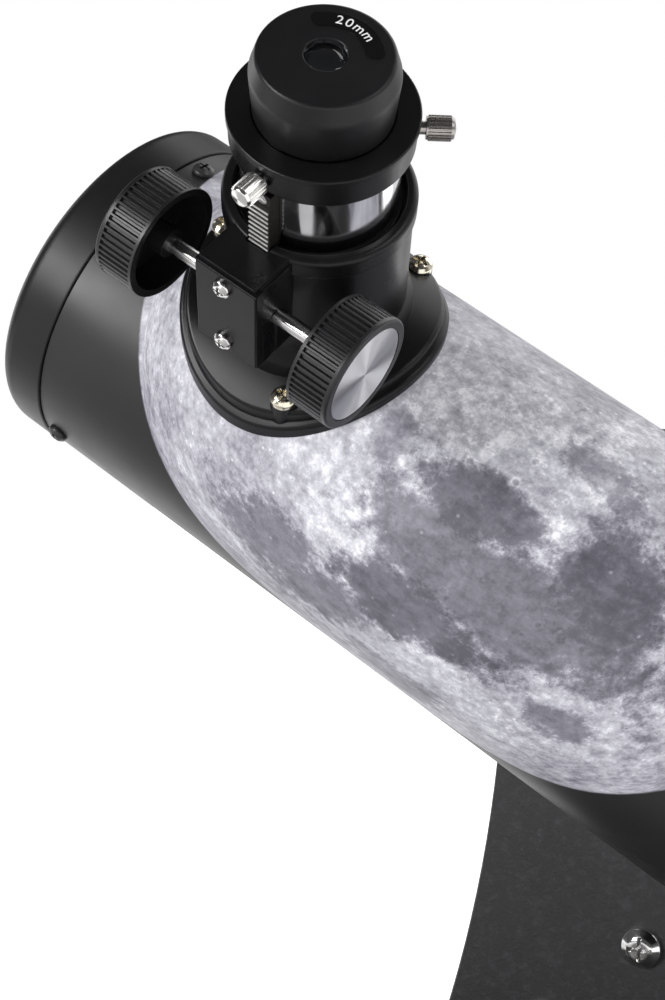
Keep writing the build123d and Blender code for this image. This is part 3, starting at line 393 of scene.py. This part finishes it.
# A generic lunar face printed on the tube, in millimetres on the unrolled tube, from the point under
# the focuser.  Its features lie on a globe, and its outline is a wider ellipse.
GLOBE_CENTRE = (59.5, 8.0)
GLOBE_R = 100.0
OUTLINE_CENTRE = (59.1, 37.0)
OUTLINE_REACH = (109.5, 130.0)
SEAM_AROUND = -110.0        # the wrap's seam, on the black
TUBE_GIRTH = 2 * math.pi * TUBE_R_MM
LAVA_PLAINS = (
    # along, around, half-length, half-width, lean in degrees, darkness
    (24.0, -60.0, 15.0, 9.0, -8.0, 0.60),
    (41.0, -67.0, 16.0, 7.5, 22.0, 0.66),
    (66.0, -79.5, 13.5, 6.5, 0.0, 0.46),
    (64.0, -53.0, 22.0, 9.5, 3.0, 0.92),
    (86.0, -36.0, 37.0, 11.5, 3.0, 0.68),
    (60.0, -34.0, 16.0, 11.0, 0.0, 0.62),
    (66.0, -20.0, 18.0, 8.0, 0.0, 0.84),
    (106.0, -19.0, 15.0, 16.0, 0.0, 0.80),
    (112.0, -53.0, 9.0, 4.5, 25.0, 0.62),
    (86.0, 5.0, 12.0, 5.5, -10.0, 0.55),
    (38.0, -17.0, 6.0, 7.0, 0.0, 0.34),
    (72.0, 31.0, 6.0, 8.0, 0.0, 0.34),
    (14.0, 60.0, 24.0, 14.0, 20.0, 0.80),
    (84.0, 70.0, 26.0, 15.0, -15.0, 0.70),
    (130.0, 40.0, 16.0, 12.0, 30.0, 0.60),
    (36.0, 112.0, 28.0, 13.0, 10.0, 0.70),
    (98.0, 126.0, 20.0, 10.0, -20.0, 0.60),
)
RAY_CRATERS = (
    # along, around, reach, strength
    (36.0, -39.0, 26.0, 0.7),
    (97.0, -62.0, 22.0, 0.5),
    (86.0, -15.0, 10.0, 1.1),
    (89.0, 0.0, 8.0, 1.0),
    (60.0, 6.0, 36.0, 0.9),
    (50.0, -62.0, 9.0, 0.7),
    (-30.0, -22.0, 36.0, 0.8),
    (80.0, 24.0, 34.0, 0.9),
    (46.0, -6.0, 24.0, 0.7),
    (118.0, 80.0, 40.0, 0.9),
)
CRATER_SIZES = (
    # cell, on a ball of radius 1; bowl and rim, as shares of the cell; share of cells; contrast
    (0.24, 0.13, 0.05, 0.15, 0.08),
    (0.12, 0.15, 0.07, 0.25, 0.09),
    (0.060, 0.19, 0.10, 0.25, 0.10),
    (0.030, 0.22, 0.16, 0.25, 0.08),
    (0.016, 0.24, 0.20, 0.35, 0.08),
)
MOON_GREYS = (
    # tone, and its colour
    (0.00, (0.030, 0.028, 0.037)),
    (0.25, (0.105, 0.101, 0.124)),
    (0.50, (0.250, 0.245, 0.285)),
    (0.75, (0.490, 0.488, 0.540)),
    (1.00, (0.860, 0.860, 0.895)),
)


def lava_cover(s, along, around, ragged, fine):
    """How dark the lava plains are at each place, with ragged shores."""
    cover = 0.0
    for where, round_at, reach_x, reach_y, lean, dark in LAVA_PLAINS:
        turn = math.radians(lean)
        off = s.combine(s.math("SUBTRACT", along, where), s.math("SUBTRACT", around, round_at))
        dx = s.dot(off, (math.cos(turn) / reach_x, math.sin(turn) / reach_x, 0.0))
        dy = s.dot(off, (-math.sin(turn) / reach_y, math.cos(turn) / reach_y, 0.0))
        shore = s.layered(s.length(dx, dy), ((ragged, 2.2), (fine, 1.1)))
        patch = s.remap(shore, 1.30, 0.74, 0.0, dark, smooth=True)
        cover = s.math("MAXIMUM", cover, patch)
    return cover


def crater_relief(s, ball):
    """Dark bowls with bright rims, in several sizes."""
    relief = 0.0
    for size, floor, rim, share, weight in CRATER_SIZES:
        gap = s.cells(size, ball)
        pick = s.node("SeparateColor", {0: s.cells(size, ball, out="Color")}).outputs[0]
        chosen = s.math("GREATER_THAN", pick, 1.0 - share)
        bowl = s.remap(gap, floor, floor * 0.55, 0.0, -0.5, smooth=True)
        from_rim = s.math("ABSOLUTE", s.math("SUBTRACT", gap, floor))
        ring = s.remap(from_rim, rim, 0.0, smooth=True)
        mark = s.math("MULTIPLY", s.math("ADD", bowl, ring), chosen)
        relief = s.math("ADD", relief, s.math("MULTIPLY", mark, weight))
    return relief


def bright_rays(s, along, around, fine):
    """Bright streaks thrown out from young craters."""
    rays = 0.0
    for where, round_at, reach, strength in RAY_CRATERS:
        dx = s.math("SUBTRACT", along, where)
        dy = s.math("SUBTRACT", around, round_at)
        far = s.length(dx, dy)
        bearing = (s.math("DIVIDE", dx, far), s.math("DIVIDE", dy, far))
        spoke = s.combine(*bearing, s.math("MULTIPLY", far, 0.012))
        streak = s.remap(s.noise(0.30, 5.0, 0.7, spoke), 0.42, 0.75)
        fade = s.remap(far, 1.0, reach, 1.0, 0.0, smooth=True)
        heart = s.remap(far, 1.8, 0.6, 0.0, 0.8, smooth=True)
        glow = s.math("MULTIPLY", s.math("MULTIPLY_ADD", streak, 0.45, 0.35), fade)
        glow = s.math("MULTIPLY", glow, s.remap(fine, 0.30, 0.62, 0.45, 1.0))
        rays = s.math("ADD", rays, s.math("MULTIPLY", s.math("MAXIMUM", glow, heart), strength))
    return rays


def bright_specks(s, ball):
    """Small bright dots, in about two fifths of the cells."""
    size = 0.045
    dot = s.remap(s.cells(size, ball), 0.16, 0.04, smooth=True)
    pick = s.node("SeparateColor", {0: s.cells(size, ball, out="Color")}).outputs[1]
    return s.math("MULTIPLY", dot, s.math("GREATER_THAN", pick, 0.62))


def disc_square(s, along, around, centre, reach):
    """How far a place is from a centre each way, as shares of the reach, and their squares' sum."""
    x = s.math("DIVIDE", s.math("SUBTRACT", along, centre[0]), reach[0])
    y = s.math("DIVIDE", s.math("SUBTRACT", around, centre[1]), reach[1])
    return x, y, s.math("ADD", s.math("MULTIPLY", x, x), s.math("MULTIPLY", y, y))


def printed_moon(name):
    """The tube's wrap: a grey lunar disc on black under a clear satin film."""
    s = Shader(name, IOR=1.5, Specular_IOR_Level=0.36, Coat_Weight=0.10, Coat_Roughness=0.30)
    along, across, outward = s.coordinates(ORIGIN, AXIS_X, AXIS_Y, AXIS_Z)
    around = s.math("MULTIPLY", s.math("ARCTAN2", across, outward), TUBE_R_MM)
    past_seam = s.math("LESS_THAN", around, SEAM_AROUND)
    around = s.math("MULTIPLY_ADD", past_seam, TUBE_GIRTH, around)
    x, y, square = disc_square(s, along, around, GLOBE_CENTRE, (GLOBE_R, GLOBE_R))
    outline = disc_square(s, along, around, OUTLINE_CENTRE, OUTLINE_REACH)[2]

    # Each texture is read on a ball of radius 1, so features flatten towards its edge as on a globe.
    depth = s.math("SQRT", s.math("MAXIMUM", s.math("SUBTRACT", 1.0, square), 0.0))
    ball = s.combine(x, y, depth)
    ragged = s.noise(0.16, 8.0, 0.68, ball)
    swirl = s.noise(0.45, 5.0, 0.6, ball)
    fine = s.noise(0.035, 6.0, 0.76, ball)
    leaning = s.node("Mapping", {"Vector": ball, "Rotation": (0.0, 0.0, 0.9), "Scale": (0.45, 1.6, 1.0)})
    streaks = s.noise(0.06, 6.0, 0.7, leaning.outputs[0])

    highland = s.math("MULTIPLY_ADD", swirl, 0.52, 0.38)
    highland = s.layered(highland, ((fine, 1.00), (ragged, 0.70), (streaks, 0.30)))
    lava = s.math("MULTIPLY_ADD", swirl, 0.50, -0.02)
    lava = s.layered(lava, ((fine, 0.26), (ragged, 0.30), (streaks, 0.26)))
    plains = lava_cover(s, along, around, ragged, fine)
    tone = s.blend_numbers(plains, highland, lava)
    rough_ground = s.remap(plains, 0.0, 0.9, 1.0, 0.35)
    tone = s.math("ADD", tone, s.math("MULTIPLY", crater_relief(s, ball), rough_ground))
    tone = s.math("ADD", tone, s.math("MULTIPLY", bright_rays(s, along, around, fine), 0.30))
    tone = s.math("ADD", tone, s.math("MULTIPLY", bright_specks(s, ball), 0.24))
    limb = s.remap(outline, 0.80, 1.0, 0.0, -0.10)
    tone = s.math("ADD", tone, limb, clamp=True)
    moon = s.ramp(tone, MOON_GREYS)

    disc = s.remap(outline, 1.006, 0.994, smooth=True)
    sky = s.blend(s.noise(20.0, 4.0, 0.6), rgb(0.0085, 0.0085, 0.0088), rgb(0.0150, 0.0150, 0.0155))
    inside = s.math("LESS_THAN", s.length(across, outward), WALL_MIDDLE_R_MM)
    colour = s.blend(inside, s.blend(disc, sky, moon), NEAR_BLACK)
    film = s.noise(0.5, 3.0, 0.6, s.combine(along, around))
    gloss = s.remap(s.noise(24.0, 4.0, 0.6), 0.3, 0.7, 0.36, 0.46)
    gloss = s.blend_numbers(inside, gloss, 0.85)
    s.set(Base_Color=colour, Roughness=gloss, Normal=s.bump(film, 0.006))
    return s.material


def spun_disc(name, centre, axis):
    """Spun aluminium: concentric cuts with a soft sweep round the centre."""
    tint = (0.74, 0.745, 0.765)
    return turned_metal(name, tint, 0.40, centre, axis, groove=0.10, facing=True, sweep=0.97)


def print_paint(name):
    """Pad-printed white figures."""
    s = Shader(name, IOR=1.5)
    worn = s.noise(0.25, 4.0, 0.6)
    s.set(
        Base_Color=s.blend(worn, rgb(0.70, 0.70, 0.70), rgb(0.86, 0.86, 0.86)),
        Roughness=s.remap(worn, 0.3, 0.7, 0.42, 0.55),
        Normal=s.bump(worn, 0.004),
    )
    return s.material


def give(material, *names):
    """Put one material on whole CAD nodes."""
    for name in names:
        slots = NODES[name].data.materials
        slots.clear()
        slots.append(material)


BLACK_MOULDING = (0.0040, 0.0040, 0.0043)
BLACK_PAINT = (0.018, 0.018, 0.019)
CHROME = (0.86, 0.86, 0.88)
BRASS = (0.74, 0.56, 0.27)

# The black plastics.
give(
    moulded_plastic("ring_black", (0.0070, 0.0070, 0.0074), 0.38, edge=0.5),
    "front_ring", "rear_cell", "tube_hub",
)
give(
    moulded_plastic("housing_black", BLACK_MOULDING, 0.30, depth=0.008, edge=0.35, shine=0.24),
    "focuser_housing",
)
give(
    moulded_plastic("cover_black", BLACK_MOULDING, 0.34, depth=0.008, edge=0.2, shine=0.14),
    "pinion_cover",
)
give(
    moulded_plastic("knob_black", (0.0110, 0.0110, 0.0116), 0.36, edge=0.12, shine=0.42),
    "focus_knob_near", "focus_knob_far", "altitude_knob",
)
give(
    moulded_plastic("holder_black", BLACK_MOULDING, 0.30, depth=0.008, edge=0.2),
    "eyepiece_holder",
)
give(
    moulded_plastic("eyepiece_black", (0.0046, 0.0046, 0.0052), 0.38, shine=0.34),
    "eyepiece_body",
)
give(
    moulded_plastic("label_black", (0.0028, 0.0028, 0.0030), 0.16, depth=0.002, edge=0.05, coat=0.3),
    "eyepiece_label",
)
give(
    moulded_plastic("flat_black", (0.0060, 0.0060, 0.0060), 0.72, edge=0.2),
    "secondary_holder", "focuser_liner", "mirror_clips",
)
give(rubber("foot_rubber_look"), "rubber_feet", "mirror_pads")

# The bright metals of the focuser and eyepiece.
give(polished_metal("chrome_tube", CHROME, 0.09), "drawtube")
# The barrel's top is painted near black: painted shade in the gap under the eyepiece's body.
give(
    polished_metal("chrome_barrel", CHROME, 0.09, gap_shade_above=BARREL_SHOULDER_Z),
    "eyepiece_barrel",
)
give(
    polished_metal("chrome_screw", (0.78, 0.775, 0.76), 0.10, marks=1.0),
    "arm_screws", "pinion_cover_screws",
)
give(
    polished_metal("gilt_screw", (0.76, 0.71, 0.58), 0.12, marks=1.0),
    "focuser_screws",
)
# Painted shade: this thumbscrew part gets a darker nickel than the knob-side one, for the shadow it sits
# in.
give(
    polished_metal("nickel_painted_shade", (0.40, 0.375, 0.36), 0.20, edge=0.08, marks=1.5),
    "eyepiece_thumbscrew_side",
)
give(
    polished_metal("nickel_bright", (0.80, 0.79, 0.77), 0.12, edge=0.08, marks=1.5),
    "eyepiece_thumbscrew_knob_side",
)
give(
    turned_metal("shaft_steel", (0.74, 0.735, 0.72), 0.16, SHAFT_POINT, AXIS_X, groove=0.08),
    "pinion_shaft",
)
give(spun_disc("disc_aluminium", SHAFT_POINT, AXIS_X), "knob_discs")
give(turned_metal("brass_gear", BRASS, 0.28, SHAFT_POINT, AXIS_X), "pinion_gear")
give(toothed_steel("rack_steel_look", TEETH_LIT_Y, TEETH_SHADED_Y), "focus_rack")
give(plated_fixing("rack_screw_look", (0.72, 0.715, 0.70), 0.22), "rack_screws")

# The fixings, the base and the altitude pivot.
give(turned_metal("brass_insert", BRASS, 0.26, PIVOT, WORLD_Y), "knob_insert")
give(
    plated_fixing("zinc_look", (0.62, 0.62, 0.61), 0.26),
    "foot_screws", "azimuth_bolt", "azimuth_washers", "azimuth_nut", "arm_base_screws", "arm_nuts",
    "bracket_screws", "hub_screws", "altitude_bolt", "altitude_washer", "mirror_clip_screws",
    "focuser_nuts", "secondary_bolt", "collimation_screws",
)
give(powder_coat("black_screw", BLACK_PAINT, 0.30), "front_ring_screws", "rear_cell_screws")
give(powder_coat("black_steel_look", (0.020, 0.020, 0.021), 0.42), "arm_bracket", "spider")
give(laminate("board_flat", WORLD_Z), "ground_board", "turntable_board")
give(laminate("board_upright", WORLD_Y), "side_arm")
give(pale_polymer("white_glide_look", (0.80, 0.79, 0.76), 0.34), "bearing_pads")
give(
    pale_polymer("nylon_look", (0.66, 0.64, 0.58), 0.40),
    "azimuth_bushing", "altitude_bushing", "friction_washer",
)

# The optics and the tube.
give(mirror_coating("mirror_look"), "primary_mirror", "secondary_mirror")
give(coated_glass("lens_look"), "eye_lens", "field_lens")
give(printed_moon("moon_wrap"), "optical_tube")


# ---- Figures on the eyepiece's label -----------------------------------------------------------
LABEL_TEXT = "20mm"
LABEL_MIDDLE_DEG = 90.0
LABEL_R_MM = 9.3
LABEL_TOP_Z = 134.57
FIGURE_HEIGHT_MM = 2.5
FIGURE_GAP_MM = 0.75
FIGURE_THICKNESS = 0.00002
FONT_SIZE_PER_HEIGHT = 1.4


def placed(x_axis, y_axis, z_axis, spot):
    """The matrix of an object with these axes, at this spot."""
    return Matrix(
        (
            (x_axis.x, y_axis.x, z_axis.x, spot.x),
            (x_axis.y, y_axis.y, z_axis.y, spot.y),
            (x_axis.z, y_axis.z, z_axis.z, spot.z),
            (0, 0, 0, 1),
        )
    )


def flat_figure(character, name):
    """One raised figure, flat in its own plane and centred on its own foot."""
    curve = bpy.data.curves.new("figure", "FONT")
    curve.body = character
    curve.size = FIGURE_HEIGHT_MM / MM_PER_M * FONT_SIZE_PER_HEIGHT
    curve.align_x = "CENTER"
    curve.extrude = FIGURE_THICKNESS
    piece = bpy.data.objects.new(name, curve)
    bpy.context.scene.collection.objects.link(piece)
    return piece


def label_figures():
    """White figures set round the eyepiece's top, read from outside with their tops outward."""
    made = [flat_figure(character, f"figure_{index}") for index, character in enumerate(LABEL_TEXT)]
    bpy.context.view_layer.update()
    widths = [piece.dimensions.x * MM_PER_M + FIGURE_GAP_MM for piece in made]
    run = -sum(widths) / 2
    for piece, width in zip(made, widths):
        angle = math.radians(LABEL_MIDDLE_DEG) + (run + width / 2) / (LABEL_R_MM + FIGURE_HEIGHT_MM / 2)
        run += width
        outward = -math.cos(angle) * AXIS_X + math.sin(angle) * AXIS_Y
        reading = math.sin(angle) * AXIS_X + math.cos(angle) * AXIS_Y
        spot = ORIGIN + AXIS_Z * (LABEL_TOP_Z / MM_PER_M) + outward * (LABEL_R_MM / MM_PER_M)
        piece.matrix_world = placed(reading, outward, AXIS_Z, spot)
    bpy.ops.object.select_all(action="DESELECT")
    for piece in made:
        piece.select_set(True)
    bpy.context.view_layer.objects.active = made[0]
    bpy.ops.object.convert(target="MESH")
    bpy.ops.object.join()
    joined = bpy.context.view_layer.objects.active
    joined.name = "label_figures"
    joined.data.materials.clear()
    joined.data.materials.append(print_paint("figure_white"))
    return joined


figures = label_figures()
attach(figures, "eyepiece")


# ---- Stage, light and camera -------------------------------------------------------------------
FLOOR_REACH = 1.6
DIM_POOL = (-0.30, -0.35, 0.0)
DIM_POOL_EDGE_MM = (320.0, 470.0)
FAR_GLOW_END_MM = 1500.0
NEAR_GLOW = 0.46
FAR_GLOW = 0.60
ROOM_DARK = (0.075, 0.075, 0.078, 1.0)
BACKDROP_LIGHT = (0.78, 0.78, 0.79, 1.0)
BACKDROP_START = (-0.25, 0.35)
BACKDROP_TOP = (0.55, 0.12)
FILL_LIGHT = (0.33, 0.33, 0.335, 1.0)
WHITE = (1.0, 1.0, 1.0, 1.0)
SOFTBOXES = (
    # name, place from the tube frame's origin, width, height, watts
    ("key_light", (-0.54, -1.02, 0.34), 0.46, 0.46, 11.5),
    ("top_light", (0.34, 0.72, 0.88), 1.10, 1.10, 7.0),
    ("right_light", (1.15, -0.30, 0.70), 0.70, 0.70, 4.0),
    ("side_light", (-1.10, 0.35, 0.35), 0.30, 0.80, 1.5),
)
CAMERA_HEADING_DEG = 24.6583
CAMERA_DOWN_DEG = 6.5002
CAMERA_OFFSET = Vector((0.20539, -0.43234, 0.02882))
CAMERA_LENS_MM = 61.87
CAMERA_SENSOR_MM = 36.0
CAMERA_CLIP_START = 0.01


def stage_floor():
    """A pale floor that glows like the foot of a lit backdrop, but for a dim pool at the front left.

    The object's dark sides reflect the pool, and stay dark.
    """
    mesh = bpy.data.meshes.new("studio_floor")
    reach = FLOOR_REACH
    corners = [(-reach, -reach, 0), (reach, -reach, 0), (reach, reach, 0), (-reach, reach, 0)]
    mesh.from_pydata(corners, [], [(0, 1, 2, 3)])
    floor = bpy.data.objects.new("studio_floor", mesh)
    bpy.context.scene.collection.objects.link(floor)
    s = Shader("floor_pale", IOR=1.45)
    cloud = s.noise(400.0, 4.0, 0.6)
    x, y = s.coordinates(DIM_POOL, WORLD_X, WORLD_Y)
    far = s.length(x, y)
    pool_start, pool_end = DIM_POOL_EDGE_MM
    lit = s.remap(far, pool_start, pool_end, smooth=True)
    near_glow = s.remap(far, pool_start, pool_end, 0.0, NEAR_GLOW, smooth=True)
    glow = s.math("ADD", near_glow, s.remap(far, pool_end, FAR_GLOW_END_MM, 0.0, FAR_GLOW))
    s.set(
        Base_Color=s.blend(lit, rgb(0.52, 0.52, 0.52), rgb(0.86, 0.86, 0.86)),
        Roughness=s.remap(cloud, 0.3, 0.7, 0.75, 0.85),
        Emission_Color=s.blend(cloud, rgb(0.98, 0.98, 0.98), rgb(1.0, 1.0, 1.0)),
        Emission_Strength=glow,
    )
    mesh.materials.append(s.material)


def studio_world():
    """White to the eye.  For light and reflections, a dim room with a lit backdrop behind."""
    world = bpy.data.worlds.new("studio")
    bpy.context.scene.world = world
    world.use_nodes = True
    tree = world.node_tree

    def made(kind, **settings):
        node = tree.nodes.new("ShaderNode" + kind)
        for key, value in settings.items():
            setattr(node, key, value)
        return node

    def fade(value, low, high):
        node = made("MapRange", interpolation_type="SMOOTHSTEP", clamp=True)
        tree.links.new(value, node.inputs[0])
        for index, number in ((1, low), (2, high), (3, 0.0), (4, 1.0)):
            node.inputs[index].default_value = number
        return node.outputs[0]

    def product(a, b):
        node = made("Math", operation="MULTIPLY")
        tree.links.new(a, node.inputs[0])
        tree.links.new(b, node.inputs[1])
        return node.outputs[0]

    def mixed(amount, under, over):
        node = made("Mix", data_type="RGBA")
        tree.links.new(amount, node.inputs[0])
        for index, colour in ((6, under), (7, over)):
            if isinstance(colour, tuple):
                node.inputs[index].default_value = colour
            else:
                tree.links.new(colour, node.inputs[index])
        return node.outputs[2]

    split = made("SeparateXYZ")
    tree.links.new(made("TexCoord").outputs["Generated"], split.inputs[0])
    behind = fade(split.outputs[1], *BACKDROP_START)
    below = fade(split.outputs[2], *BACKDROP_TOP)
    backdrop = product(behind, below)
    room = mixed(backdrop, ROOM_DARK, BACKDROP_LIGHT)
    path = made("LightPath")
    lit = mixed(path.outputs["Is Diffuse Ray"], room, FILL_LIGHT)
    seen = mixed(path.outputs["Is Camera Ray"], lit, WHITE)
    tree.links.new(seen, tree.nodes["Background"].inputs["Color"])


def softbox(name, offset, width, height, power):
    """A rectangular light that faces the tube frame's origin."""
    light = bpy.data.lights.new(name, "AREA")
    light.shape = "RECTANGLE"
    light.size = width
    light.size_y = height
    light.energy = power
    made = bpy.data.objects.new(name, light)
    bpy.context.scene.collection.objects.link(made)
    made.location = ORIGIN + Vector(offset)
    aim = ORIGIN - made.location
    made.rotation_euler = aim.to_track_quat("-Z", "Y").to_euler()


def camera():
    """A camera with no roll, turned to its heading and tipped down."""
    heading = math.radians(CAMERA_HEADING_DEG)
    down = math.radians(CAMERA_DOWN_DEG)
    right = Vector((math.cos(heading), math.sin(heading), 0.0))
    level_back = Vector((math.sin(heading), -math.cos(heading), 0.0))
    back = level_back * math.cos(down) + WORLD_Z * math.sin(down)
    up = back.cross(right)
    data = bpy.data.cameras.new("camera")
    data.sensor_width = CAMERA_SENSOR_MM
    data.lens = CAMERA_LENS_MM
    data.clip_start = CAMERA_CLIP_START
    made = bpy.data.objects.new("camera", data)
    bpy.context.scene.collection.objects.link(made)
    made.matrix_world = placed(right, up, back, ORIGIN + CAMERA_OFFSET)
    bpy.context.scene.camera = made


stage_floor()
studio_world()
camera()
for box in SOFTBOXES:
    softbox(*box)
bpy.context.scene.view_settings.view_transform = "Standard"
